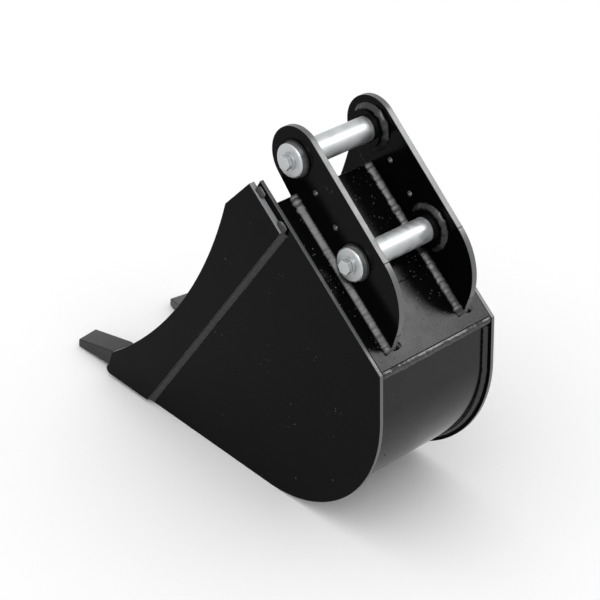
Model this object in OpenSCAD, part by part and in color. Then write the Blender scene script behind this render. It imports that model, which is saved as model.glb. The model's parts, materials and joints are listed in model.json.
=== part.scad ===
// Narrow digging bucket for a compact tractor's backhoe, with its two hitch pins in place.
// +X points back to the heel, +Y to the bucket's right side and +Z up. The origin lies on
// the ground, on the centre line, midway between the tooth tips and the back of the heel.

/* [Shell] */
// Length from the tooth tips to the back of the heel
overall_l = 633; // [600:1:680]
// Width over the two side plates
shell_w = 226; // [214:1:320]
// Thickness of each side plate
side_t = 6; // [5:0.5:8]
// Radius of the side plates' rolled heel
heel_r = 195; // [185:1:205]
// Forward lean of the heel's straight upper stretch, in degrees
heel_lean = 7; // [4:0.5:10]
// Height of the corner where the heel meets the back
corner_h = 289; // [275:1:300]
// Slope of the back above the ground, in degrees
back_a = 37; // [35:0.5:39]
// Length of the side plates' straight back edge, from the corner
side_back_l = 304; // [290:1:312]
// How far the side plates stand proud of the wrapper
rim = 10; // [6:0.5:14]
// Thickness of the rolled wrapper
wrapper_t = 6; // [4:0.5:8]
// Thickness of the two back plates
back_t = 8; // [6:0.5:10]
// How far the back plates end short of the side plates' upper end
back_short = 36; // [24:1:49]
// Distance from the corner to the seam between the back plates
seam_l = 101; // [70:1:140]

/* [Lip and teeth] */
// Thickness of the cutting lip
lip_t = 14; // [10:0.5:18]
// How far the lip's front edge lies ahead of the side plates' bottom edge
lip_reach = 63; // [58:1:70]
// Depth of the cutting lip from front to back
lip_l = 88; // [75:1:95]
// Height of the lip's underside above the ground
lip_rise = 8; // [7:0.5:10]
// How far the teeth reach ahead of the lip
tooth_reach = 94; // [85:1:105]
// Width of each tooth
tooth_w = 40; // [34:1:46]
// Height of a tooth's blunt tip
tooth_tip_t = 12; // [9:0.5:14]
// Height of a tooth's crest above its own underside at the tip
tooth_h = 34; // [30:0.5:38]
// Angle by which the left tooth's tip points outwards
toe_left = 0; // [0:1:5]
// Angle by which the right tooth's tip points outwards
toe_right = 19; // [10:1:22]

/* [Side cutters] */
// Thickness of each side cutter
cutter_t = 10; // [8:0.5:14]
// How far a cutter's back edge lies below the side plate's back edge
cutter_drop = 10.5; // [6:0.5:14]
// Length of a cutter's back edge
cutter_back_l = 79; // [70:1:90]
// Length of a cutter's top end
cutter_top_l = 67; // [55:1:75]
// Radius of a cutter's hollow front edge
cutter_front_r = 635; // [560:5:800]
// Height of the front nose of a cutter
nose_h = 41; // [34:1:48]

/* [Ears and pins] */
// Clear width between the two ears
ear_gap = 132; // [120:1:150]
// Thickness of each ear
ear_t = 10; // [8:0.5:12]
// Radius of the ears' top lobe
ear_r = 45; // [38:0.5:48]
// Radius of the ears' rounded belly behind the arm pin
belly_r = 95; // [85:1:100]
// Diameter of both pins
pin_d = 36; // [28:0.5:38]
// Distance between the two pins
pin_pitch = 158; // [150:1:166]
// Slope of the line from the arm pin up to the link pin, in degrees
pin_a = 39.5; // [38:0.5:41]
// Height of the arm pin above the ground
arm_pin_h = 404; // [398:1:412]
// Distance of the arm pin behind the centre of the rolled heel
arm_pin_back = 90; // [84:1:96]
// Outer diameter of the bosses
boss_d = 56; // [52:0.5:60]
// Diameter of the retaining discs
disc_d = 48; // [44:0.5:50]
// Thickness of the retaining discs
disc_t = 10; // [6:0.5:12]

/* [Hidden] */
$fn = 96;
overrun = 1;

// Places that the shell's outline is made from
heel_x = overall_l / 2 - heel_r;
tip_x = -overall_l / 2;
inner_w = shell_w - 2 * side_t;
heel_centre = [heel_x, heel_r];
lean_dir = [-sin(heel_lean), cos(heel_lean)];
lean_out = [cos(heel_lean), sin(heel_lean)];
lean_start = heel_centre + heel_r * lean_out;
lean_l = (corner_h - lean_start[1]) / lean_dir[1];
corner = lean_start + lean_l * lean_dir;
back_dir = [-cos(back_a), sin(back_a)];
back_out = [sin(back_a), cos(back_a)];
side_top = corner + side_back_l * back_dir;
lip_front = tip_x + tooth_reach;
back_l = side_back_l - back_short;
side_mouth = [lip_front + lip_reach, 0];
wrapper_r = heel_r - rim;
reach = 2 * overall_l;

// Back plates and the weld over the heel corner
back_end = 4;
heel_weld_out = 3.5;
heel_weld_drop = 6;
heel_weld_top = 1;
heel_weld_leg = 8;

// Lip and teeth
lip_side_gap = 1;
inset_left = 4;
inset_right = -4;
tooth_crest_l = 84;
tooth_crest_flat = 38;
tooth_root_l = 81;
tooth_flat = 3;
tooth_rise = 1;
tooth_under_l = 72;
tooth_under_rise = 5;
tooth_extra = 20;
sweep_left = 10;
sweep_right = 3;
tip_left_x = 0;
tip_right_x = 8;

// Side cutters
cutter_up = 309;
cutter_top_a = 50;
cutter_rise = 6;
cutter_foot_back = 27;
nose_forward = 67;
nose_rake = 11;
nose_r = 8;

// Ears, bosses, pins and what holds them
ear_back_a = 38.5;
belly_down = 183;
belly_end_a = 13;
wedge_share = 1.3;
tangent_inset = 0.05;
ear_hole_d = 8;
ear_hole_shares = [1 / 3, 2 / 3];
seat_gap = 0.1;
running_gap = 0.05;
boss_in = 11.7;
boss_out = 0.5;
boss_chamfer = 1.2;
seal_t = 1.2;
seal_lip = 2;
seal_gap = 0.3;
seal_side_gap = 0.2;
disc_chamfer = 2;
groove_w = 1;
groove_depth = 0.5;
pin_chamfer = 1;
bolt_d = 12;
bolt_head_af = 19;
bolt_head_t = 7.5;
bolt_l = 38;
bolt_gap = 0.2;
hole_extra = 6;
washer_d = 25;
washer_t = 2.5;

// Weld fillets
ear_weld_w = 11;
ear_weld_h = 7;
boss_weld = 7;
boss_weld_a = 210;
boss_weld_start = -150;
cutter_weld = 8;
tack_l = 14;
tack_leg = 7;
shell_weld_w = 8;
shell_weld_h = 5;
weld_run_gap = 0.3;

arm_pin_at = [heel_x + arm_pin_back, arm_pin_h];
link_pin_at = arm_pin_at + pin_pitch * [-cos(pin_a), sin(pin_a)];
bore_r = pin_d / 2 + running_gap;
ear_in = ear_gap / 2;
ear_out = ear_in + ear_t;
boss_end = ear_out + boss_out;
pin_end = boss_end + seal_t + 2 * seal_side_gap;
bolt_across = bolt_head_af / cos(30);

// Where the line from p along d meets the line from q along e
function meet(p, d, q, e) =
  p + d * ((q[0] - p[0]) * e[1] - (q[1] - p[1]) * e[0]) / (d[0] * e[1] - d[1] * e[0]);

// A point at distance r and angle a from the point p
function polar(p, r, a) = p + r * [cos(a), sin(a)];

// The touching point of the tangent from p to the circle at c, on its left side
function tangent_point(p, c, r) =
  polar(p, sqrt(pow(norm(c - p), 2) - r * r), atan2(c[1] - p[1], c[0] - p[0]) + asin(r / norm(c - p)));

// A side view, drawn in x and height, made t thick from y towards +Y
module slab(y, t) {
  translate([0, y + t, 0]) rotate([90, 0, 0]) linear_extrude(t) children();
}

// The same slab with its inner face at y, on the left side (-1) or the right side (1)
module side_slab(side, y, t) {
  slab(side > 0 ? y : -y - t, t) children();
}

// Side view in the back's own directions: x up the slope from the corner, y into the shell
module back_view() {
  translate(corner) rotate(180 - back_a) children();
}

// A section, drawn in width and height above the back, run up the slope from u over l
module back_run(u, l) {
  translate([corner[0], 0, corner[1]]) rotate([0, 180 + back_a, 0]) translate([u, 0, 0])
    rotate([90, 0, 90]) linear_extrude(l) mirror([0, 1]) children();
}

// A round profile, drawn in radius and distance outwards, turned about a pin's axis
module turned(at, side, sweep = 360, start = 0) {
  translate([at[0], 0, at[1]]) mirror([0, side > 0 ? 0 : 1, 0]) rotate([-90, 0, 0])
    rotate(start) rotate_extrude(angle = sweep) children();
}

// A ring between two radii, from y0 to y1 outwards
module ring(at, side, r0, r1, y0, y1) {
  turned(at, side) polygon([[r0, y0], [r1, y0], [r1, y1], [r0, y1]]);
}

// Shell

module side_plate(side) {
  color("#151516") side_slab(side, inner_w / 2, side_t) {
    polygon([side_mouth, [heel_x, 0], heel_centre, lean_start, corner, side_top]);
    difference() {
      translate(heel_centre) circle(heel_r);
      translate([heel_x - heel_r, 0]) square([heel_r, 2 * heel_r]);
      translate(heel_centre) rotate(heel_lean) square(2 * heel_r);
    }
  }
}

// All that lies inside a skin rolled at radius r, from from_x to the rear
module rolled_fill(r, from_x) {
  lean_foot = heel_centre + r * lean_out;
  polygon([[from_x, heel_r - r], [heel_x, heel_r - r], heel_centre, lean_foot,
    lean_foot + 2 * lean_l * lean_dir, [from_x, reach]]);
  translate(heel_centre) circle(r);
}

module wrapper() {
  color("#1b1b1c") slab(-inner_w / 2, inner_w) difference() {
    rolled_fill(wrapper_r, lip_front + lip_l);
    rolled_fill(wrapper_r - wrapper_t, lip_front + lip_l - overrun);
    back_view() translate([-reach, -reach]) square([2 * reach, reach + back_t]);
  }
}

module back_plate(from, to) {
  color("#232325") slab(-inner_w / 2, inner_w) back_view() translate([from, 0]) square([to - from, back_t]);
}

module cutting_lip() {
  color("#1e1e1f") {
    translate([lip_front, -inner_w / 2, lip_rise]) cube([lip_l, inner_w, lip_t]);
    translate([lip_front, -shell_w / 2, lip_rise])
      cube([side_mouth[0] - lip_side_gap - lip_front, shell_w, lip_t]);
  }
}

module tooth_side_view() {
  slope = (tooth_h - tooth_tip_t) / tooth_crest_l;
  tooth_l = tooth_reach + tooth_root_l;
  polygon([
    [-tooth_extra, tooth_rise], [-tooth_extra, tooth_rise + tooth_tip_t - slope * tooth_extra],
    [tooth_crest_l, tooth_rise + tooth_h], [tooth_crest_l + tooth_crest_flat, tooth_rise + tooth_h],
    [tooth_l, lip_rise + lip_t / 2], [tooth_l, lip_rise], [tooth_under_l, tooth_rise + tooth_under_rise],
    [tooth_flat, tooth_rise]
  ]);
}

// A tooth whose tip's inner corner is at_x behind the front and inset from the shell's side
module tooth(side, toe, sweep, at_x, inset) {
  inner_y = shell_w / 2 - inset - tooth_w;
  color("#242426") difference() {
    intersection() {
      translate([tip_x + at_x, side * inner_y, 0]) rotate([0, 0, -side * toe])
        side_slab(side, 0, tooth_w) tooth_side_view();
      translate([tip_x + at_x, side * inner_y, -overrun]) rotate([0, 0, -side * sweep])
        translate([0, -reach, 0]) cube([reach, 2 * reach, reach]);
    }
    translate([lip_front, -shell_w / 2, -overrun]) cube([reach, shell_w, lip_rise + lip_t + overrun]);
  }
}

// Side cutters

cutter_back_top = corner + cutter_up * back_dir - cutter_drop * back_out;
cutter_back_low = cutter_back_top - cutter_back_l * back_dir;
cutter_foot = [side_mouth[0] + cutter_foot_back, cutter_rise];
cutter_horn = polar(cutter_back_top, cutter_top_l, 180 + cutter_top_a);
nose_foot = [side_mouth[0] - nose_forward, cutter_rise];
nose_top = nose_foot + [nose_rake, nose_h];
nose_chord = norm(cutter_horn - nose_top);
nose_chord_a = atan2(cutter_horn[1] - nose_top[1], cutter_horn[0] - nose_top[0]);
front_centre = polar((cutter_horn + nose_top) / 2,
  sqrt(pow(cutter_front_r, 2) - pow(nose_chord / 2, 2)), nose_chord_a + 90);
cutter_edge_a = atan2(cutter_back_low[1] - cutter_foot[1], cutter_back_low[0] - cutter_foot[0]);

module cutter_side_view() {
  difference() {
    union() {
      polygon([nose_foot + [nose_r, 0], cutter_foot, cutter_back_low, cutter_back_top, cutter_horn,
        nose_top, nose_foot + [nose_rake * nose_r / nose_h, nose_r]]);
      translate(nose_foot + [nose_r, nose_r]) circle(nose_r);
    }
    translate(front_centre) circle(cutter_front_r, $fn = 360);
  }
}

module side_cutter(side) {
  color("#161617") side_slab(side, shell_w / 2, cutter_t) cutter_side_view();
}

// Ears

ear_line_out = [sin(ear_back_a), cos(ear_back_a)];
ear_line_dir = [cos(ear_back_a), -sin(ear_back_a)];
lobe_end = link_pin_at + (ear_r - tangent_inset) * ear_line_out;
belly_at = link_pin_at + (ear_r - belly_r) * ear_line_out + belly_down * ear_line_dir;
belly_top = belly_at + (belly_r - tangent_inset) * ear_line_out;
belly_low = polar(belly_at, belly_r - tangent_inset, -belly_end_a);
belly_end_dir = [-sin(belly_end_a), -cos(belly_end_a)];
ear_heel = meet(belly_low, belly_end_dir, corner - back_t * back_out, back_dir);
ear_chin = corner + back_l * back_dir - back_t * back_out;
lobe_start = tangent_point(ear_chin, link_pin_at, ear_r - tangent_inset);
ear_foot_low = norm(meet(belly_low, belly_end_dir, corner, back_dir) - corner);

module ear_body() {
  polygon([lobe_end, belly_top, belly_low, ear_heel, ear_chin, lobe_start]);
}

module ear_belly() {
  intersection() {
    translate(belly_at) circle(belly_r);
    polygon([arm_pin_at, belly_top, belly_at + wedge_share * (belly_top - belly_at),
      belly_at + wedge_share * (belly_low - belly_at), belly_low]);
  }
}

module ear_cuts() {
  back_view() translate([-reach, 0]) square([reach + back_l + seat_gap, reach]);
  for (at = [link_pin_at, arm_pin_at]) translate(at) circle(boss_d / 2 + seat_gap);
  for (s = ear_hole_shares) translate(link_pin_at + s * (arm_pin_at - link_pin_at)) circle(d = ear_hole_d);
}

module ear(side) {
  color("#19191a") difference() {
    union() {
      side_slab(side, ear_in, ear_t) ear_body();
      side_slab(side, ear_in, ear_t) ear_belly();
      side_slab(side, ear_in, ear_t) translate(link_pin_at) circle(ear_r);
    }
    side_slab(side, ear_in - overrun, ear_t + 2 * overrun) ear_cuts();
  }
}

module boss(at, side) {
  color("#141415") turned(at, side) polygon([
    [bore_r + boss_chamfer, ear_in - boss_in], [boss_d / 2, ear_in - boss_in], [boss_d / 2, boss_end],
    [bore_r, boss_end], [bore_r, ear_in - boss_in + boss_chamfer]
  ]);
}

// Pins and what holds them

pin_groove = ear_in - boss_in - groove_w;

module pin(at) {
  r = pin_d / 2;
  color("#c9cacc") difference() {
    union() {
      ring(at, 1, 0, r, -pin_groove, pin_groove);
      for (side = [-1, 1]) turned(at, side) polygon([
        [0, pin_groove], [r - groove_depth, pin_groove], [r - groove_depth, pin_groove + groove_w],
        [r, pin_groove + groove_w], [r, pin_end - pin_chamfer], [r - pin_chamfer, pin_end], [0, pin_end]
      ]);
    }
    for (side = [-1, 1])
      ring(at, side, 0, bolt_d / 2 + bolt_gap, pin_end + disc_t - bolt_l - hole_extra, pin_end + overrun);
  }
}

module disc(at, side) {
  r = disc_d / 2;
  color("#d3d4d6") turned(at, side) polygon([
    [bolt_d / 2 + bolt_gap, pin_end], [r, pin_end], [r, pin_end + disc_t - disc_chamfer],
    [r - disc_chamfer, pin_end + disc_t], [bolt_d / 2 + bolt_gap, pin_end + disc_t]
  ]);
}

module washer(at, side) {
  color("#b9babd")
    ring(at, side, bolt_d / 2 + bolt_gap, washer_d / 2, pin_end + disc_t, pin_end + disc_t + washer_t);
}

module bolt(at, side) {
  seat = pin_end + disc_t + washer_t;
  color("#c2c3c6") {
    ring(at, side, 0, bolt_d / 2, seat - bolt_l, seat);
    translate([at[0], side > 0 ? seat + bolt_head_t : -seat, at[1]]) rotate([90, 0, 0])
      cylinder(d = bolt_across, h = bolt_head_t, $fn = 6);
  }
}

module seals(at) {
  color("#101010") for (side = [-1, 1])
    ring(at, side, pin_d / 2 + seal_gap, boss_d / 2 - seal_lip, boss_end + seal_side_gap,
      pin_end - seal_side_gap);
}

// Welds

module ear_welds(side) {
  color("#2b2b2d") for (out = [-1, 1]) {
    foot = side * (out > 0 ? ear_out : ear_in);
    back_run(ear_foot_low, back_l - ear_foot_low)
      polygon([[foot, 0], [foot + side * out * ear_weld_w, 0], [foot, ear_weld_h]]);
  }
}

module boss_welds(side) {
  color("#2b2b2d") for (at = [link_pin_at, arm_pin_at]) turned(at, side, boss_weld_a, boss_weld_start)
    polygon([[boss_d / 2, ear_in], [boss_d / 2, ear_in - boss_weld], [boss_d / 2 + boss_weld, ear_in]]);
}

wrapper_end = meet(corner - rim * lean_out, lean_dir, corner - back_t * back_out, back_dir);

// Fills the step between the back plates' end and the outside of the wrapper
module heel_weld() {
  top = corner + back_end * back_dir;
  color("#2b2b2d") slab(-inner_w / 2, inner_w) polygon([
    top, top - back_t * back_out, wrapper_end, wrapper_end - heel_weld_leg * lean_dir,
    top - (heel_weld_out + back_end) * back_dir - (heel_weld_drop + heel_weld_leg / 2) * back_out,
    top - (heel_weld_out + back_end) * back_dir - heel_weld_drop * back_out,
    top - back_end * back_dir - heel_weld_top * back_out
  ]);
}

module cutter_welds(side) {
  face = side * shell_w / 2;
  color("#2b2b2d") {
    translate([cutter_foot[0], 0, cutter_foot[1]]) rotate([0, -cutter_edge_a, 0]) rotate([90, 0, 90])
      linear_extrude(norm(cutter_back_low - cutter_foot))
        polygon([[face, 0], [face + side * cutter_weld, 0], [face, -cutter_weld]]);
    for (u = [cutter_up - cutter_back_l, cutter_up - tack_l - cutter_drop]) back_run(u, tack_l)
      translate([face, -cutter_drop]) polygon([[0, 0], [side * tack_leg, 0], [0, tack_leg]]);
  }
}

// The fillet in the corner between the wrapper and the side plate's proud rim, in three runs
module shell_welds(side) {
  w = shell_weld_w;
  h = shell_weld_h;
  y = inner_w / 2;
  section = [[wrapper_r, y], [wrapper_r + h, y], [wrapper_r, y - w]];
  color("#2b2b2d") {
    translate([heel_x, 0, heel_r]) mirror([0, side > 0 ? 0 : 1, 0]) rotate([90, 0, 0]) rotate(-90)
      rotate_extrude(angle = 90 + heel_lean) mirror([0, 1]) polygon(section);
    translate([heel_x, 0, heel_r]) rotate([0, -heel_lean, 0]) translate([0, 0, weld_run_gap])
      linear_extrude(norm(wrapper_end - lean_start + rim * lean_out) - heel_weld_leg - shell_weld_h)
        polygon([for (p = section) [p[0], side * p[1]]]);
    translate([lip_front + lip_l, 0, heel_r]) rotate([90, 0, 90])
      linear_extrude(heel_x - lip_front - lip_l - weld_run_gap)
        polygon([for (p = section) [side * p[1], -p[0]]]);
  }
}

side_plate(-1);  // side_plate_left
side_plate(1);  // side_plate_right
wrapper();
back_plate(seam_l, back_l);  // back_plate_upper
back_plate(back_end, seam_l);  // back_plate_lower
cutting_lip();
tooth(-1, toe_left, sweep_left, tip_left_x, inset_left);  // tooth_left
tooth(1, toe_right, sweep_right, tip_right_x, inset_right);  // tooth_right
side_cutter(-1);  // side_cutter_left
side_cutter(1);  // side_cutter_right
ear(-1);  // ear_left
ear(1);  // ear_right
boss(link_pin_at, -1);  // link_boss_left
boss(link_pin_at, 1);  // link_boss_right
boss(arm_pin_at, -1);  // arm_boss_left
boss(arm_pin_at, 1);  // arm_boss_right
pin(link_pin_at);  // link_pin
pin(arm_pin_at);  // arm_pin
disc(link_pin_at, -1);  // link_disc_left
disc(link_pin_at, 1);  // link_disc_right
disc(arm_pin_at, -1);  // arm_disc_left
disc(arm_pin_at, 1);  // arm_disc_right
bolt(link_pin_at, -1);  // link_bolt_left
bolt(link_pin_at, 1);  // link_bolt_right
bolt(arm_pin_at, -1);  // arm_bolt_left
bolt(arm_pin_at, 1);  // arm_bolt_right
washer(link_pin_at, -1);  // link_washer_left
washer(link_pin_at, 1);  // link_washer_right
washer(arm_pin_at, -1);  // arm_washer_left
washer(arm_pin_at, 1);  // arm_washer_right
seals(link_pin_at);  // link_seals
seals(arm_pin_at);  // arm_seals
ear_welds(-1);  // weld_ear_left
ear_welds(1);  // weld_ear_right
boss_welds(-1);  // weld_bosses_left
boss_welds(1);  // weld_bosses_right
heel_weld();  // weld_heel
cutter_welds(-1);  // weld_cutter_left
cutter_welds(1);  // weld_cutter_right
shell_welds(-1);  // weld_shell_left
shell_welds(1);  // weld_shell_right
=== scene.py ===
"""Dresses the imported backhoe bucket: black enamel, rippled weld beads and plated hitch pins."""

import json
import math
import random
import bpy
from bpy.props import FloatProperty, FloatVectorProperty, IntProperty, PointerProperty
from mathutils import Matrix, Vector


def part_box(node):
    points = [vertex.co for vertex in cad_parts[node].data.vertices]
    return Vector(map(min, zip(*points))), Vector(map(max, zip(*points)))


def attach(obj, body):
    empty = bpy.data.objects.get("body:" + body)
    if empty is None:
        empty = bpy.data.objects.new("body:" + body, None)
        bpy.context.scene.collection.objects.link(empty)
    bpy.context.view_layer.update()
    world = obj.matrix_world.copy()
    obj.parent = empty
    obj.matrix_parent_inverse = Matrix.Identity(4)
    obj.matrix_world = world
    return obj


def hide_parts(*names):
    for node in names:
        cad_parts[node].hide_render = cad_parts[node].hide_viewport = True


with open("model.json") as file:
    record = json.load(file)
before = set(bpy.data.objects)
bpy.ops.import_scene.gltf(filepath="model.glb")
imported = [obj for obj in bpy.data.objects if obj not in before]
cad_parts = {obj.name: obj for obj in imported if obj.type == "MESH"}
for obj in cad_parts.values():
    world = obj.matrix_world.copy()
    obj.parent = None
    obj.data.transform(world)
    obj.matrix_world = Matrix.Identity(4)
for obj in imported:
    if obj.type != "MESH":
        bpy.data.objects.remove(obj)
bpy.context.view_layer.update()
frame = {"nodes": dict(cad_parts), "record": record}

bl_info = {
    "name": "Backhoe bucket",
    "version": (1, 0, 0),
    "blender": (4, 5, 0),
    "location": "3D View > Sidebar > Bucket",
    "description": "Builds the looks of a narrow backhoe bucket over its fixed frame",
    "category": "Add Mesh",
}

BODY_OF = {node: body for body, nodes in frame["record"]["behaviour"]["bodies"].items() for node in nodes}
PINS = {mount["name"].split("_")[0]: Vector(mount["pos_m"])
        for mount in frame["record"]["mounts"] if mount["kind"] == "pin"}
SIDES = {"left": -1, "right": 1}

# Places on the shell, from the frame's own boxes and the rolled plates' radii
HEEL_R = 0.195
WRAPPER_R = 0.185
SHELL_BEAD_R = 0.1875
LEAN_RUN = 0.07077
SIDE_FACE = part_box("side_plate_right")[1][1]
INNER_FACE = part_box("wrapper")[1][1]
HEEL = Vector((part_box("side_plate_left")[1][0] - HEEL_R, 0, HEEL_R))
BACK_SLOPE = math.radians(37)
BACK_UP = Vector((-math.cos(BACK_SLOPE), 0, math.sin(BACK_SLOPE)))
BACK_OUT = Vector((math.sin(BACK_SLOPE), 0, math.cos(BACK_SLOPE)))
LEAN = math.radians(7)
LEAN_UP = Vector((-math.sin(LEAN), 0, math.cos(LEAN)))
LEAN_OUT = Vector((math.cos(LEAN), 0, math.sin(LEAN)))
CORNER = HEEL + HEEL_R * LEAN_OUT + LEAN_RUN * LEAN_UP
EAR_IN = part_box("ear_right")[0][1]
EAR_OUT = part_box("ear_right")[1][1]

# Weld ripples: half width, share of the ripples' height, and wobble
RIPPLES = {
    "ear_outer": (0.0062, 1, 0.55),
    "ear_inner": (0.0062, 1.8, 2.4),
    "ear_lump": (0.0068, 2.1, 2.2),
    "boss": (0.0052, 2, 2.6),
    "heel_upper": (0.0042, 1.1, 1.3),
    "heel_lower": (0.0036, 0.9, 1.3),
    "heel_lump": (0.0046, 2.2, 2),
    "cutter": (0.0044, 1, 1.3),
    "tack": (0.0048, 1.6, 2.4),
    "shell": (0.0046, 0.8, 0.8),
}
# How far up the back the ears' welds reach, where their lumps lie, and how far the beads' middles
# stand off the ear and the plate
EAR_RUN = (0.026, 0.262)
EAR_LUMPS = (0.024, 0.031, 0.243, 0.254, 0.262)
LUMP_L = 0.004
EAR_BEAD_OFF = 0.0055
EAR_BEAD_UP = 0.0035
LUMP_UP = 0.0032
BOSS_BEAD_OFF = 0.0035
# The heel weld's two runs, as places on the back, and its lumps at the ears' feet
HEEL_RUNS = ((-0.0022, -0.0030, "heel_upper"), (-0.0030, -0.0085, "heel_lower"))
HEEL_LUMP_AT = (0.001, -0.003)
HEEL_LUMPS = (0.060, 0.066, 0.079, 0.084)
# Both ends of a cutter's rear bead, and of its two tacks up the back
CUTTER_LOW = Vector((-0.1325, 0, 0.006))
CUTTER_HIGH = Vector((0.11643, 0, 0.41903))
TACKS = ((0.230, 0.244), (0.2845, 0.2985))
CUTTER_BEAD_OFF = 0.0038
TACK_OFF = 0.003
TACK_DROP = 0.0075
# How far a bead stops short of the end of its fillet
RUN_MARGIN = 0.004
# The weld rings round the bosses, in degrees
RING_START = -150
RING_SWEEP = 210
# The shell weld's floor end, the angle that it turns round the heel and its run up to the corner
FLOOR_WELD_X = -0.130
SHELL_SWEEP = 97
SHELL_RISE = 0.054
# Weld spatter: x, z and share of full size on the left side plate, and x, y, z and share on the wrapper
SIDE_SPATTER = ((0.1726, 0.0407, 1), (0.2419, 0.0797, 0.9), (0.1517, 0.1574, 0.8))
WRAPPER_SPATTER = (
    (0.2857, -0.0676, 0.2803, 1), (0.292, -0.0551, 0.2669, 0.8), (0.2948, -0.0898, 0.2597, 0.7),
    (0.3004, -0.0800, 0.2421, 0.9), (0.3048, -0.0874, 0.2201, 0.7), (0.2974, -0.0749, 0.1376, 0.9),
)
LEAN_FOOT_Z = 0.2188
SPATTER_FLATNESS = 0.7

# The stage: the camera fitted to the photograph, its focal length in pixels, and the floor
CAMERA_AT = (1.7805, -1.8432, 1.8980)
CAMERA_RIGHT = (0.695990, 0.714963, 0.066528)
CAMERA_UP = (-0.434337, 0.345402, 0.831895)
CAMERA_BACK = (0.571794, -0.607886, 0.550931)
FOCAL_PX = 2140
PHOTO_PX = 600
SENSOR_MM = 36
FLOOR_SIZE = 24
AIM = Vector((0.1, 0, 0.3))

# Enamels: base colour, dust colour, specular level, roughness, share of dust, orange peel and waviness
ENAMELS = {
    "plate_enamel": ("enamel", "overspray", 0.05, 0.14, 0.39, 0.35, 0.35),
    "rolled_enamel": ("enamel", "overspray", 0.24, 0.13, 0.42, 0.5, 0.9),
    "back_enamel": ("enamel", "overspray", 0.1, 0.24, 0.58, 0.4, 0.35),
    "forged_enamel": ("forged_enamel", "overspray", 0.3, 0.34, 0.4, 0.9, 0.35),
    "bead_enamel": ("bead_enamel", "overspray", 0.4, 0.34, 0.46, 0.6, 0.35),
    # Rims of cut plates: a grey for thin enamel on the edges, made lighter as a painted sheen for the reflections
    # they catch
    "edge_enamel_and_sheen": ("edge_enamel_and_sheen", "enamel", 0.5, 0.36, 0.5, 0.8, 0.35),
    # The cutters' back edges: a still lighter grey, a painted reflection of the light on that face, lifted
    # against the ears' shade
    "painted_sheen_enamel": ("painted_sheen_enamel", "edge_enamel_and_sheen", 0.5, 0.4, 0.5, 0.8, 0.35),
}
# Zinc: roughness, and how much closer the turning marks lie along a pin than across it
ZINCS = {"zinc_turned": (0.5, 60), "zinc_fastener": (0.42, 1)}


def linear(code):
    """An sRGB hex colour as linear RGBA"""
    parts = [int(code[i:i + 2], 16) / 255 for i in (1, 3, 5)]
    return tuple(c / 12.92 if c <= 0.04045 else ((c + 0.055) / 1.055) ** 2.4 for c in parts) + (1.0,)


def colour(name, about, code):
    return FloatVectorProperty(name=name, description=about, subtype="COLOR", size=4, min=0, max=1,
                               default=linear(code))


def length(name, about, default, low, high):
    return FloatProperty(name=name, description=about, subtype="DISTANCE", unit="LENGTH", precision=5,
                         default=default, min=low, max=high)


class BucketSizes(bpy.types.PropertyGroup):
    """Sizes of the finishing details"""

    plate_edge: length("Plate edge", "Width of the broken edge on cut plates", 0.0011, 0.0003, 0.003)
    tooth_edge: length("Tooth edge", "Width of the rounded edge on the teeth", 0.0026, 0.001, 0.005)
    turned_edge: length("Turned edge", "Width of the edge break on turned parts", 0.0006, 0.0002, 0.002)
    bead_step: length("Bead step", "Distance from one weld ripple to the next", 0.0044, 0.003, 0.01)
    bead_height: length("Bead height", "How far a weld ripple stands over its fillet", 0.0005, 0.0003, 0.003)
    bead_detail: length("Bead detail", "Voxel size that the weld beads are meshed at", 0.0010, 0.0006, 0.002)
    spatter: length("Spatter", "Radius of a weld spatter ball", 0.0016, 0.0005, 0.004)


class BucketColours(bpy.types.PropertyGroup):
    """Colours of the finishes"""

    enamel: colour("Enamel", "Gloss enamel on the plates", "#060607")
    bead_enamel: colour("Bead enamel", "Gloss enamel over the weld beads", "#232324")
    # Rims: grey for thin enamel over ground edges, and partly a painted sheen for the reflections that the rims
    # catch
    edge_enamel_and_sheen: colour("Edge enamel and sheen", "Thin enamel over ground edges", "#585A5B")
    # Cutters' back edges: a light grey that is a painted reflection, lifted to make up for the shade of the ears
    painted_sheen_enamel: colour("Painted sheen enamel", "Back edges that the spray only misted", "#8C8E90")
    forged_enamel: colour("Forged enamel", "Satin enamel on the teeth", "#1B1C1C")
    overspray: colour("Overspray", "Dust and dry spray in the enamel", "#6A6A6A")
    zinc: colour("Zinc", "Clear zinc plating on pins and bolts", "#C6C8C9")
    zinc_shade: colour("Zinc shade", "Duller patches of the zinc", "#AEB1B3")
    rubber: colour("Rubber", "Dust seals", "#101010")
    floor: colour("Floor", "Studio floor", "#FCFCFC")


class BucketLooks(bpy.types.PropertyGroup):
    """Counts and seeds"""

    seed: IntProperty(name="Seed", description="Seed of the weld beads' small changes", default=7, min=0)
    smoothing: IntProperty(name="Bead smoothing", description="Smoothing passes over a weld bead",
                         default=8, min=1, max=12)


# Helpers for meshes

def only(piece):
    """Leaves one object selected and active, in object mode"""
    if bpy.context.mode != "OBJECT":
        bpy.ops.object.mode_set(mode="OBJECT")
    bpy.ops.object.select_all(action="DESELECT")
    piece.select_set(True)
    bpy.context.view_layer.objects.active = piece


def modify(piece, kind, **settings):
    """Adds a modifier with its settings and applies it"""
    only(piece)
    modifier = piece.modifiers.new(kind.title(), kind)
    for key, value in settings.items():
        setattr(modifier, key, value)
    bpy.ops.object.modifier_apply(modifier=modifier.name)


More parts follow.
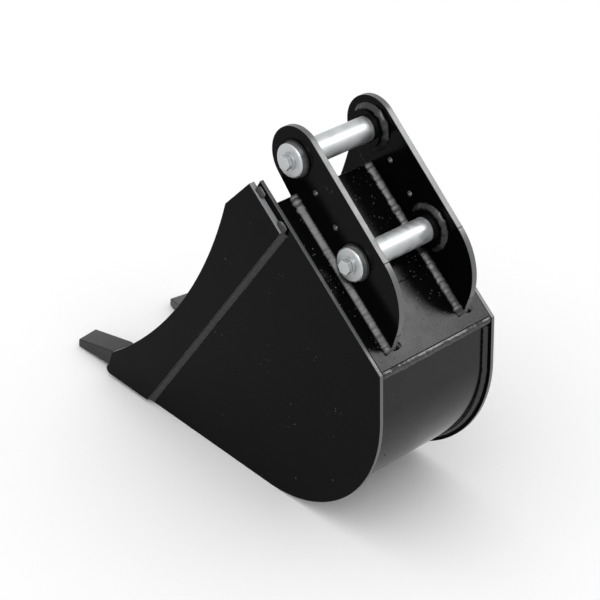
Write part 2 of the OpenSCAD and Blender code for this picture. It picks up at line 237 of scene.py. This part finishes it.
def copy_of(node, name):
    """A merged copy of a CAD node, free of its body, that stands for it"""
    source = frame["nodes"][node]
    piece = source.copy()
    piece.data = source.data.copy()
    piece.name = piece.data.name = name
    bpy.context.scene.collection.objects.link(piece)
    piece.parent = None
    piece.matrix_world = Matrix.Identity(4)
    piece.data.materials.clear()
    only(piece)
    if piece.data.has_custom_normals:
        bpy.ops.mesh.customdata_custom_splitnormals_clear()
    bpy.ops.object.mode_set(mode="EDIT")
    bpy.ops.mesh.select_all(action="SELECT")
    bpy.ops.mesh.remove_doubles(threshold=0.000004)
    bpy.ops.mesh.dissolve_limited(angle_limit=math.radians(0.4))
    bpy.ops.object.mode_set(mode="OBJECT")
    return piece


def finish_piece(piece, material, node):
    """Gives a piece its material and the body and place of its CAD node"""
    piece.data.materials.clear()
    piece.data.materials.append(material)
    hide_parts(node)
    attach(piece, BODY_OF[node])


def edged(node, name, width, material, segments=2, rim=None):
    """A CAD node with its sharp edges broken as a grinder or a lathe tool leaves them.

    A rim finish goes on a flat-cut plate's edges, which face away from its two sides."""
    piece = copy_of(node, name)
    modify(piece, "BEVEL", width=width, segments=segments, limit_method="ANGLE",
           angle_limit=math.radians(30), use_clamp_overlap=False, loop_slide=True, profile=0.6)
    modify(piece, "TRIANGULATE", min_vertices=5)
    only(piece)
    bpy.ops.object.shade_smooth_by_angle(angle=math.radians(40))
    modify(piece, "WEIGHTED_NORMAL", weight=80, keep_sharp=True)
    finish_piece(piece, material, node)
    # The rim faces take the rim finish, a grey that is partly a painted sheen
    if rim:
        piece.data.materials.append(rim)
        for face in piece.data.polygons:
            face.material_index = int(abs(face.normal.y) < 0.5)
    return piece


def puddle():
    """One unit weld puddle, copied along every bead"""
    bpy.ops.object.select_all(action="DESELECT")
    bpy.ops.mesh.primitive_ico_sphere_add(subdivisions=2, radius=1)
    ball = bpy.context.object
    bpy.ops.object.mode_set(mode="EDIT")
    bpy.ops.mesh.select_all(action="SELECT")
    bpy.ops.transform.resize(value=(1, 1, 0.96))
    bpy.ops.object.mode_set(mode="OBJECT")
    return ball


def join(pieces, name):
    """Joins pieces into the first one"""
    only(pieces[0])
    for piece in pieces:
        piece.select_set(True)
    bpy.ops.object.join()
    pieces[0].name = pieces[0].data.name = name
    return pieces[0]


def laid(ball, at, along, out, half_along, half_across, height):
    """A copy of the puddle, flattened and laid with its own mesh at a place"""
    piece = ball.copy()
    piece.data = ball.data.copy()
    bpy.context.scene.collection.objects.link(piece)
    across = out.cross(along).normalized()
    axes = (along.normalized() * half_along, across * half_across, out.normalized() * height)
    turn = Matrix(axes).transposed()
    piece.data.transform(Matrix.Translation(at) @ turn.to_4x4())
    piece.matrix_world = Matrix.Identity(4)
    return piece


def bead(node, name, runs, material):
    """A weld bead: the CAD fillet with rippled puddles laid on it, meshed as one skin.

    Each run is a list of places: the point, the way along, the way out and the kind of ripple."""
    sizes = bpy.context.scene.bucket_sizes
    looks = bpy.context.scene.bucket_looks
    rng = random.Random(looks.seed + len(name) * 31 + sum(map(ord, name)))
    base = copy_of(node, name)
    ball = puddle()
    parts = [base]
    for run in runs:
        for point, along, out, kind in run:
            half, share, wobble = RIPPLES[kind]
            tilt = (out + along * 0.28).normalized()
            shift = along * rng.uniform(-1, 1) * 0.0007 + out * rng.uniform(-0.6, 0.5) * 0.0006 * wobble
            grow = 1 + rng.uniform(-0.07, 0.16) * wobble
            parts.append(laid(ball, point + shift, along, tilt, sizes.bead_step * rng.uniform(1.05, 1.4),
                              half * grow, sizes.bead_height * share * grow))
    bpy.data.objects.remove(ball)
    piece = join(parts, name)
    modify(piece, "REMESH", mode="VOXEL", voxel_size=sizes.bead_detail, adaptivity=0)
    modify(piece, "SMOOTH", factor=0.5, iterations=looks.smoothing)
    only(piece)
    bpy.ops.object.shade_smooth()
    finish_piece(piece, material, node)
    return piece


def places(start, end, out, kind):
    """Ripple places along a straight run"""
    step = bpy.context.scene.bucket_sizes.bead_step
    along = (end - start).normalized()
    count = max(1, round((end - start).length / step))
    return [(start.lerp(end, (i + 0.5) / count), along, out, kind) for i in range(count)]


def on_back(u, v, y):
    """A place on the back: u up the slope from the corner, v above the plates"""
    return CORNER + BACK_UP * u + BACK_OUT * v + Vector((0, y, 0))


# Helpers for materials

def add_node(tree, kind, settings=None, links=None, **attributes):
    """Adds a node, sets its attributes and inputs, and links its inputs from other sockets"""
    node = tree.nodes.new(kind)
    for key, value in attributes.items():
        setattr(node, key, value)
    for key, value in (settings or {}).items():
        node.inputs[key].default_value = value
    for key, socket in (links or {}).items():
        tree.links.new(socket, node.inputs[key])
    return node


def blank(name):
    material = bpy.data.materials.new(name)
    material.use_nodes = True
    material.node_tree.nodes.clear()
    return material, material.node_tree


def gloss_enamel(name, base, dust, shine, roughness, dust_share, orange_peel, waviness):
    """Sprayed gloss enamel on hot-rolled plate.

    The eye sees a deep black with sharp but slightly wavy reflections, the orange peel of the
    spray, a few dust nibs and some dry overspray."""
    material, tree = blank(name)
    at = add_node(tree, "ShaderNodeTexCoord").outputs["Object"]
    # Orange peel of about 2.5 mm, drawn a little coarser than real so that it shows
    peel = add_node(tree, "ShaderNodeTexNoise", {"Scale": 260, "Detail": 2, "Roughness": 0.4}, {"Vector": at})
    # The plate's own waviness, about 60 mm from crest to crest
    wave = add_node(tree, "ShaderNodeTexNoise", {"Scale": 14, "Detail": 1}, {"Vector": at})
    # Dust nibs of about 1 mm in a 6 mm grid, kept only where a coarse noise is high
    nib = add_node(tree, "ShaderNodeTexVoronoi", {"Scale": 170, "Randomness": 1}, {"Vector": at})
    nib_dot = add_node(tree, "ShaderNodeMapRange",
                       {"From Min": 0.09, "From Max": 0.19, "To Min": 1, "To Max": 0},
                       {"Value": nib.outputs["Distance"]})
    zone = add_node(tree, "ShaderNodeTexNoise", {"Scale": 22, "Detail": 4, "Roughness": 0.65}, {"Vector": at})
    zone_cut = add_node(tree, "ShaderNodeMapRange", {"From Min": 1 - dust_share, "From Max": 1.12 - dust_share},
                        {"Value": zone.outputs["Fac"]})
    dots = add_node(tree, "ShaderNodeMath", {}, {0: nib_dot.outputs[0], 1: zone_cut.outputs[0]},
                    operation="MULTIPLY")
    # Dry overspray: a fine grain that dulls some areas
    grain = add_node(tree, "ShaderNodeTexNoise", {"Scale": 900, "Detail": 3, "Roughness": 0.7}, {"Vector": at})
    dull = add_node(tree, "ShaderNodeMath", {}, {0: grain.outputs["Fac"], 1: zone.outputs["Fac"]},
                    operation="MULTIPLY")
    rough = add_node(tree, "ShaderNodeMapRange",
                     {"From Min": 0.12, "From Max": 0.42, "To Min": roughness * 0.9, "To Max": roughness * 1.25},
                     {"Value": dull.outputs[0]})
    tone = add_node(tree, "ShaderNodeMix", {"A": base, "B": dust}, {"Factor": dots.outputs[0]},
                    data_type="RGBA")
    bump_wave = add_node(tree, "ShaderNodeBump", {"Strength": waviness, "Distance": 0.0012},
                         {"Height": wave.outputs["Fac"]})
    bump_peel = add_node(tree, "ShaderNodeBump", {"Strength": orange_peel, "Distance": 0.00008},
                         {"Height": peel.outputs["Fac"], "Normal": bump_wave.outputs[0]})
    bump_nib = add_node(tree, "ShaderNodeBump", {"Strength": 0.6, "Distance": 0.0003},
                        {"Height": dots.outputs[0], "Normal": bump_peel.outputs[0]})
    shader = add_node(tree, "ShaderNodeBsdfPrincipled", {"Specular IOR Level": shine, "IOR": 1.5},
                      {"Base Color": tone.outputs[2], "Roughness": rough.outputs[0],
                       "Normal": bump_nib.outputs[0]})
    add_node(tree, "ShaderNodeOutputMaterial", {}, {"Surface": shader.outputs[0]})
    return material


def zinc_plate(name, bright, shade, roughness, line_scale):
    """Clear zinc plating over turned steel.

    The eye sees a pale satin metal with faint turning rings and cloudy duller patches."""
    material, tree = blank(name)
    at = add_node(tree, "ShaderNodeTexCoord").outputs["Object"]
    cloud = add_node(tree, "ShaderNodeTexNoise", {"Scale": 70, "Detail": 4, "Roughness": 0.6}, {"Vector": at})
    # Turning marks across the pins: stretched noise, about 0.5 mm from ring to ring
    stretch = add_node(tree, "ShaderNodeMapping", {"Scale": (1, line_scale, 1)}, {"Vector": at})
    marks = add_node(tree, "ShaderNodeTexNoise", {"Scale": 30, "Detail": 3, "Roughness": 0.6},
                     {"Vector": stretch.outputs[0]})
    tone = add_node(tree, "ShaderNodeMix", {"A": shade, "B": bright}, {"Factor": cloud.outputs["Fac"]},
                    data_type="RGBA")
    rough = add_node(tree, "ShaderNodeMapRange",
                     {"From Min": 0.3, "From Max": 0.7, "To Min": roughness * 0.8, "To Max": roughness * 1.35},
                     {"Value": cloud.outputs["Fac"]})
    bump = add_node(tree, "ShaderNodeBump", {"Strength": 0.35, "Distance": 0.00012},
                    {"Height": marks.outputs["Fac"]})
    shader = add_node(tree, "ShaderNodeBsdfPrincipled", {"Metallic": 1},
                      {"Base Color": tone.outputs[2], "Roughness": rough.outputs[0], "Normal": bump.outputs[0]})
    add_node(tree, "ShaderNodeOutputMaterial", {}, {"Surface": shader.outputs[0]})
    return material


def seal_rubber(name, base):
    """Moulded nitrile rubber: matt, nearly black, with a faint fine grain."""
    material, tree = blank(name)
    at = add_node(tree, "ShaderNodeTexCoord").outputs["Object"]
    grain = add_node(tree, "ShaderNodeTexNoise", {"Scale": 1200, "Detail": 2}, {"Vector": at})
    rough = add_node(tree, "ShaderNodeMapRange", {"To Min": 0.55, "To Max": 0.75},
                     {"Value": grain.outputs["Fac"]})
    bump = add_node(tree, "ShaderNodeBump", {"Strength": 0.3, "Distance": 0.0001},
                    {"Height": grain.outputs["Fac"]})
    shader = add_node(tree, "ShaderNodeBsdfPrincipled", {"Base Color": base, "Specular IOR Level": 0.4},
                      {"Roughness": rough.outputs[0], "Normal": bump.outputs[0]})
    add_node(tree, "ShaderNodeOutputMaterial", {}, {"Surface": shader.outputs[0]})
    return material


def finish(name):
    """The material of one finish, made on first use"""
    if name in bpy.data.materials:
        return bpy.data.materials[name]
    colours = bpy.context.scene.bucket_colours
    if name in ENAMELS:
        base, dust, *numbers = ENAMELS[name]
        return gloss_enamel(name, getattr(colours, base), getattr(colours, dust), *numbers)
    if name in ZINCS:
        return zinc_plate(name, colours.zinc, colours.zinc_shade, *ZINCS[name])
    return seal_rubber(name, colours.rubber)


# Operators, one for each piece or group of like pieces

class BUCKET_OT_stage(bpy.types.Operator):
    """Adds the camera, the pale floor and the studio lights"""

    bl_idname = "bucket.stage"
    bl_label = "Stage"

    def execute(self, context):
        scene = context.scene
        camera = bpy.data.objects.new("camera", bpy.data.cameras.new("camera"))
        scene.collection.objects.link(camera)
        axes = Matrix((CAMERA_RIGHT, CAMERA_UP, CAMERA_BACK)).transposed()
        camera.matrix_world = Matrix.Translation(CAMERA_AT) @ axes.to_4x4()
        camera.data.sensor_width = SENSOR_MM
        camera.data.lens = FOCAL_PX / PHOTO_PX * SENSOR_MM
        scene.camera = camera
        bpy.ops.object.select_all(action="DESELECT")
        bpy.ops.mesh.primitive_plane_add(size=FLOOR_SIZE)
        floor = context.object
        floor.name = "floor"
        material, tree = blank("studio_floor")
        shade = add_node(tree, "ShaderNodeTexNoise", {"Scale": 0.6, "Detail": 1},
                         {"Vector": add_node(tree, "ShaderNodeTexCoord").outputs["Object"]})
        rough = add_node(tree, "ShaderNodeMapRange", {"To Min": 0.1, "To Max": 0.3},
                         {"Value": shade.outputs["Fac"]})
        shader = add_node(tree, "ShaderNodeBsdfDiffuse", {"Color": scene.bucket_colours.floor},
                          {"Roughness": rough.outputs[0]})
        add_node(tree, "ShaderNodeOutputMaterial", {}, {"Surface": shader.outputs[0]})
        floor.data.materials.append(material)
        # The world is plain white, as a light too
        world = bpy.data.worlds.new("studio")
        world.use_nodes = True
        tree = world.node_tree
        tree.nodes.clear()
        white = add_node(tree, "ShaderNodeBackground", {"Color": (1, 1, 1, 1), "Strength": 1})
        add_node(tree, "ShaderNodeOutputWorld", {}, {"Surface": white.outputs[0]})
        scene.world = world
        scene.view_settings.view_transform = "Standard"
        self.lamp("overhead", (-0.2, -0.6, 3.2), (2.6, 2.6), 10, True)
        self.lamp("back_card", (1.20, 1.75, 2.35), (0.80, 0.66), 42, False)
        self.lamp("front_card", (1.15, -1.20, 2.45), (0.62, 0.62), 30, False)
        return {"FINISHED"}

    def lamp(self, name, at, size, power, lights_all):
        """A soft lamp, aimed at the bucket. A card only shows in reflections."""
        data = bpy.data.lights.new(name, "AREA")
        data.shape = "RECTANGLE"
        data.size, data.size_y = size
        data.energy = power
        lamp = bpy.data.objects.new(name, data)
        bpy.context.scene.collection.objects.link(lamp)
        aim = AIM - Vector(at)
        lamp.matrix_world = Matrix.Translation(at) @ aim.to_track_quat("-Z", "Y").to_matrix().to_4x4()
        lamp.visible_diffuse = lights_all
        lamp.visible_camera = False


class BUCKET_OT_shell(bpy.types.Operator):
    """Dresses the side plates, the rolled wrapper and the two back plates"""

    bl_idname = "bucket.shell"
    bl_label = "Shell plates"

    def execute(self, context):
        edge = context.scene.bucket_sizes.plate_edge
        for side in SIDES:
            edged(f"side_plate_{side}", f"side_plate_{side}_painted", edge, finish("plate_enamel"),
                  rim=finish("edge_enamel_and_sheen"))
        edged("wrapper", "wrapper_painted", edge, finish("rolled_enamel"))
        for node in ("back_plate_upper", "back_plate_lower"):
            edged(node, node + "_painted", edge, finish("back_enamel"))
        return {"FINISHED"}


class BUCKET_OT_lip(bpy.types.Operator):
    """Dresses the cutting lip and the two forged teeth"""

    bl_idname = "bucket.lip"
    bl_label = "Lip and teeth"

    def execute(self, context):
        sizes = context.scene.bucket_sizes
        edged("cutting_lip", "cutting_lip_painted", sizes.plate_edge, finish("plate_enamel"))
        for side in SIDES:
            edged(f"tooth_{side}", f"tooth_{side}_forged", sizes.tooth_edge, finish("forged_enamel"),
                  segments=4)
        return {"FINISHED"}


class BUCKET_OT_cutters(bpy.types.Operator):
    """Dresses the two side cutters"""

    bl_idname = "bucket.cutters"
    bl_label = "Side cutters"

    def execute(self, context):
        edge = context.scene.bucket_sizes.plate_edge
        for side in SIDES:
            piece = edged(f"side_cutter_{side}", f"side_cutter_{side}_painted", edge, finish("plate_enamel"),
                          segments=3, rim=finish("edge_enamel_and_sheen"))
            # The back edge faces get a light grey, a painted reflection of the light they catch
            piece.data.materials.append(finish("painted_sheen_enamel"))
            for face in piece.data.polygons:
                if face.normal.dot(BACK_OUT) > 0.9:
                    face.material_index = 2
        return {"FINISHED"}


class BUCKET_OT_ears(bpy.types.Operator):
    """Dresses the two hitch ears and their four bosses"""

    bl_idname = "bucket.ears"
    bl_label = "Ears and bosses"

    def execute(self, context):
        sizes = context.scene.bucket_sizes
        for side in SIDES:
            edged(f"ear_{side}", f"ear_{side}_painted", sizes.plate_edge, finish("plate_enamel"), segments=3,
                  rim=finish("edge_enamel_and_sheen"))
            for pin in PINS:
                edged(f"{pin}_boss_{side}", f"{pin}_boss_{side}_painted", sizes.turned_edge,
                      finish("plate_enamel"))
        return {"FINISHED"}


class BUCKET_OT_ear_welds(bpy.types.Operator):
    """Lays the fillet beads along both faces of each ear's foot"""

    bl_idname = "bucket.ear_welds"
    bl_label = "Ear welds"

    def execute(self, context):
        for side, s in SIDES.items():
            runs = []
            # The outer run is smooth, and the one between the ears is ragged
            for way, face, kind in ((1, EAR_OUT, "ear_outer"), (-1, EAR_IN, "ear_inner")):
                y = s * (face + way * EAR_BEAD_OFF)
                out = (BACK_OUT * 11 + Vector((0, s * way * 7, 0))).normalized()
                low, high = (on_back(u, EAR_BEAD_UP, y) for u in EAR_RUN)
                runs.append(places(low, high, out, kind))
                # Lumps where a run starts and stops
                for u in EAR_LUMPS:
                    low, high = on_back(u, LUMP_UP, y), on_back(u + LUMP_L, LUMP_UP, y)
                    runs.append(places(low, high, out, "ear_lump"))
            bead(f"weld_ear_{side}", f"weld_ear_{side}_bead", runs, finish("bead_enamel"))
        return {"FINISHED"}


class BUCKET_OT_boss_welds(bpy.types.Operator):
    """Lays the part rings of weld round the bosses, inside the ears"""

    bl_idname = "bucket.boss_welds"
    bl_label = "Boss welds"

    def execute(self, context):
        low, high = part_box("link_boss_left")
        radius = (high[0] - low[0]) / 2 + BOSS_BEAD_OFF
        steps = round(math.radians(RING_SWEEP) * radius / context.scene.bucket_sizes.bead_step)
        for side, s in SIDES.items():
            runs = []
            for centre in PINS.values():
                run = []
                for i in range(steps):
                    a = math.radians(RING_START + RING_SWEEP * (i + 0.5) / steps)
                    radial = Vector((math.cos(a), 0, -math.sin(a)))
                    along = Vector((-math.sin(a), 0, -math.cos(a)))
                    out = (radial - Vector((0, s, 0))).normalized()
                    point = Vector((centre.x, s * (EAR_IN - BOSS_BEAD_OFF), centre.z)) + radial * radius
                    run.append((point, along, out, "boss"))
                runs.append(run)
            bead(f"weld_bosses_{side}", f"weld_bosses_{side}_bead", runs, finish("bead_enamel"))
        return {"FINISHED"}


class BUCKET_OT_heel_weld(bpy.types.Operator):
    """Lays the bead across the heel corner"""

    bl_idname = "bucket.heel_weld"
    bl_label = "Heel weld"

    def execute(self, context):
        out = (BACK_UP * -5 + BACK_OUT * 3.5).normalized()
        end_y = INNER_FACE - RUN_MARGIN
        runs = [places(on_back(u, v, -end_y), on_back(u, v, end_y), out, kind) for u, v, kind in HEEL_RUNS]
        for s in SIDES.values():
            for y in HEEL_LUMPS:
                start, end = (on_back(*HEEL_LUMP_AT, s * across) for across in (y, y + LUMP_L))
                runs.append(places(start, end, out, "heel_lump"))
        bead("weld_heel", "weld_heel_bead", runs, finish("bead_enamel"))
        return {"FINISHED"}


class BUCKET_OT_cutter_welds(bpy.types.Operator):
    """Lays the ragged beads behind each side cutter and the lumps at its upper edge"""

    bl_idname = "bucket.cutter_welds"
    bl_label = "Cutter welds"

    def execute(self, context):
        along = (CUTTER_HIGH - CUTTER_LOW).normalized()
        behind = Vector((along.z, 0, -along.x))
        for side, s in SIDES.items():
            out = (behind + Vector((0, s, 0))).normalized()
            lift = behind * CUTTER_BEAD_OFF + Vector((0, s * (SIDE_FACE + CUTTER_BEAD_OFF), 0))
            low, high = CUTTER_LOW + lift + along * RUN_MARGIN, CUTTER_HIGH + lift - along * RUN_MARGIN
            runs = [places(low, high, out, "cutter")]
            tack = (BACK_OUT + Vector((0, s, 0))).normalized()
            for ends in TACKS:
                low, high = (on_back(u, -TACK_DROP, s * (SIDE_FACE + TACK_OFF)) for u in ends)
                runs.append(places(low, high, tack, "tack"))
            bead(f"weld_cutter_{side}", f"weld_cutter_{side}_bead", runs, finish("bead_enamel"))
        return {"FINISHED"}


class BUCKET_OT_shell_welds(bpy.types.Operator):
    """Lays the long beads between the wrapper and the side plates' proud rims"""

    bl_idname = "bucket.shell_welds"
    bl_label = "Shell welds"

    def execute(self, context):
        steps = round(math.radians(SHELL_SWEEP) * SHELL_BEAD_R / context.scene.bucket_sizes.bead_step)
        for side, s in SIDES.items():
            y = Vector((0, s * (INNER_FACE - RUN_MARGIN), 0))
            inward = Vector((0, 5 * s, 0))
            floor_z = HEEL.z - SHELL_BEAD_R
            fillet = [places(Vector((FLOOR_WELD_X, 0, floor_z)) + y, Vector((HEEL.x, 0, floor_z)) + y,
                             Vector((0, -5 * s, -8)).normalized(), "shell")]
            run = []
            for i in range(steps):
                a = math.radians(-90 + SHELL_SWEEP * (i + 0.5) / steps)
                radial = Vector((math.cos(a), 0, math.sin(a)))
                run.append((HEEL + radial * SHELL_BEAD_R + y, Vector((-math.sin(a), 0, math.cos(a))),
                            (radial * 8 - inward).normalized(), "shell"))
            fillet.append(run)
            foot = HEEL + LEAN_OUT * SHELL_BEAD_R + y
            fillet.append(places(foot, foot + LEAN_UP * SHELL_RISE, (LEAN_OUT * 8 - inward).normalized(),
                                 "shell"))
            bead(f"weld_shell_{side}", f"weld_shell_{side}_bead", fillet, finish("bead_enamel"))
        return {"FINISHED"}


class BUCKET_OT_pins(bpy.types.Operator):
    """Dresses the two hitch pins with their discs, washers and bolts"""

    bl_idname = "bucket.pins"
    bl_label = "Pins and bolts"

    def execute(self, context):
        edge = context.scene.bucket_sizes.turned_edge
        for pin in PINS:
            edged(f"{pin}_pin", f"{pin}_pin_plated", edge * 0.4, finish("zinc_turned"))
            for side in SIDES:
                edged(f"{pin}_disc_{side}", f"{pin}_disc_{side}_plated", edge, finish("zinc_fastener"))
                edged(f"{pin}_washer_{side}", f"{pin}_washer_{side}_plated", edge * 0.5,
                      finish("zinc_fastener"))
                edged(f"{pin}_bolt_{side}", f"{pin}_bolt_{side}_plated", edge * 1.5, finish("zinc_fastener"),
                      segments=3)
        return {"FINISHED"}


class BUCKET_OT_seals(bpy.types.Operator):
    """Dresses the dust seals between the bosses and the discs"""

    bl_idname = "bucket.seals"
    bl_label = "Dust seals"

    def execute(self, context):
        for pin in PINS:
            edged(f"{pin}_seals", f"{pin}_seals_rubber", 0.0003, finish("seal_rubber"))
        return {"FINISHED"}


class BUCKET_OT_spatter(bpy.types.Operator):
    """Adds weld spatter balls on the left side plate and the wrapper"""

    bl_idname = "bucket.spatter"
    bl_label = "Weld spatter"

    def execute(self, context):
        radius = context.scene.bucket_sizes.spatter
        ball = puddle()
        drops = [(Vector((x, -SIDE_FACE, z)), Vector((1, 0, 0)), Vector((0, -1, 0)), share)
                 for x, z, share in SIDE_SPATTER]
        for x, y, z, share in WRAPPER_SPATTER:
            out = Vector((x - HEEL.x, 0, z - HEEL.z)).normalized()
            point = HEEL + out * WRAPPER_R
            if z > LEAN_FOOT_Z:
                point, out = HEEL + out * (WRAPPER_R / out.dot(LEAN_OUT)), LEAN_OUT
            drops.append((point + Vector((0, y, 0)), Vector((0, 1, 0)), out, share))
        parts = [laid(ball, point, along, out, radius * share, radius * share,
                      radius * share * SPATTER_FLATNESS) for point, along, out, share in drops]
        bpy.data.objects.remove(ball)
        piece = join(parts, "weld_spatter")
        only(piece)
        bpy.ops.object.shade_smooth()
        piece.data.materials.clear()
        piece.data.materials.append(finish("bead_enamel"))
        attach(piece, "bucket")
        return {"FINISHED"}


class BUCKET_PT_panel(bpy.types.Panel):
    """Lists the steps and the values of the bucket"""

    bl_idname = "BUCKET_PT_panel"
    bl_label = "Backhoe bucket"
    bl_space_type = "VIEW_3D"
    bl_region_type = "UI"
    bl_category = "Bucket"

    def draw(self, context):
        for group in (context.scene.bucket_sizes, context.scene.bucket_colours, context.scene.bucket_looks):
            box = self.layout.box()
            for key in group.bl_rna.properties.keys():
                if key not in ("rna_type", "name"):
                    box.prop(group, key)
        for step in STEPS:
            self.layout.operator(step.bl_idname)


STEPS = (BUCKET_OT_stage, BUCKET_OT_shell, BUCKET_OT_lip, BUCKET_OT_cutters, BUCKET_OT_ears, BUCKET_OT_ear_welds,
         BUCKET_OT_boss_welds, BUCKET_OT_heel_weld, BUCKET_OT_cutter_welds, BUCKET_OT_shell_welds, BUCKET_OT_pins,
         BUCKET_OT_seals, BUCKET_OT_spatter)
GROUPS = {"bucket_sizes": BucketSizes, "bucket_colours": BucketColours, "bucket_looks": BucketLooks}


def register():
    for part in (*GROUPS.values(), *STEPS, BUCKET_PT_panel):
        bpy.utils.register_class(part)
    for name, group in GROUPS.items():
        setattr(bpy.types.Scene, name, PointerProperty(type=group))


def unregister():
    for name in GROUPS:
        delattr(bpy.types.Scene, name)
    for part in reversed((*GROUPS.values(), *STEPS, BUCKET_PT_panel)):
        bpy.utils.unregister_class(part)


def main():
    register()
    for step in STEPS:
        area, name = step.bl_idname.split(".")
        getattr(getattr(bpy.ops, area), name)()


if __name__ == "__main__":
    main()
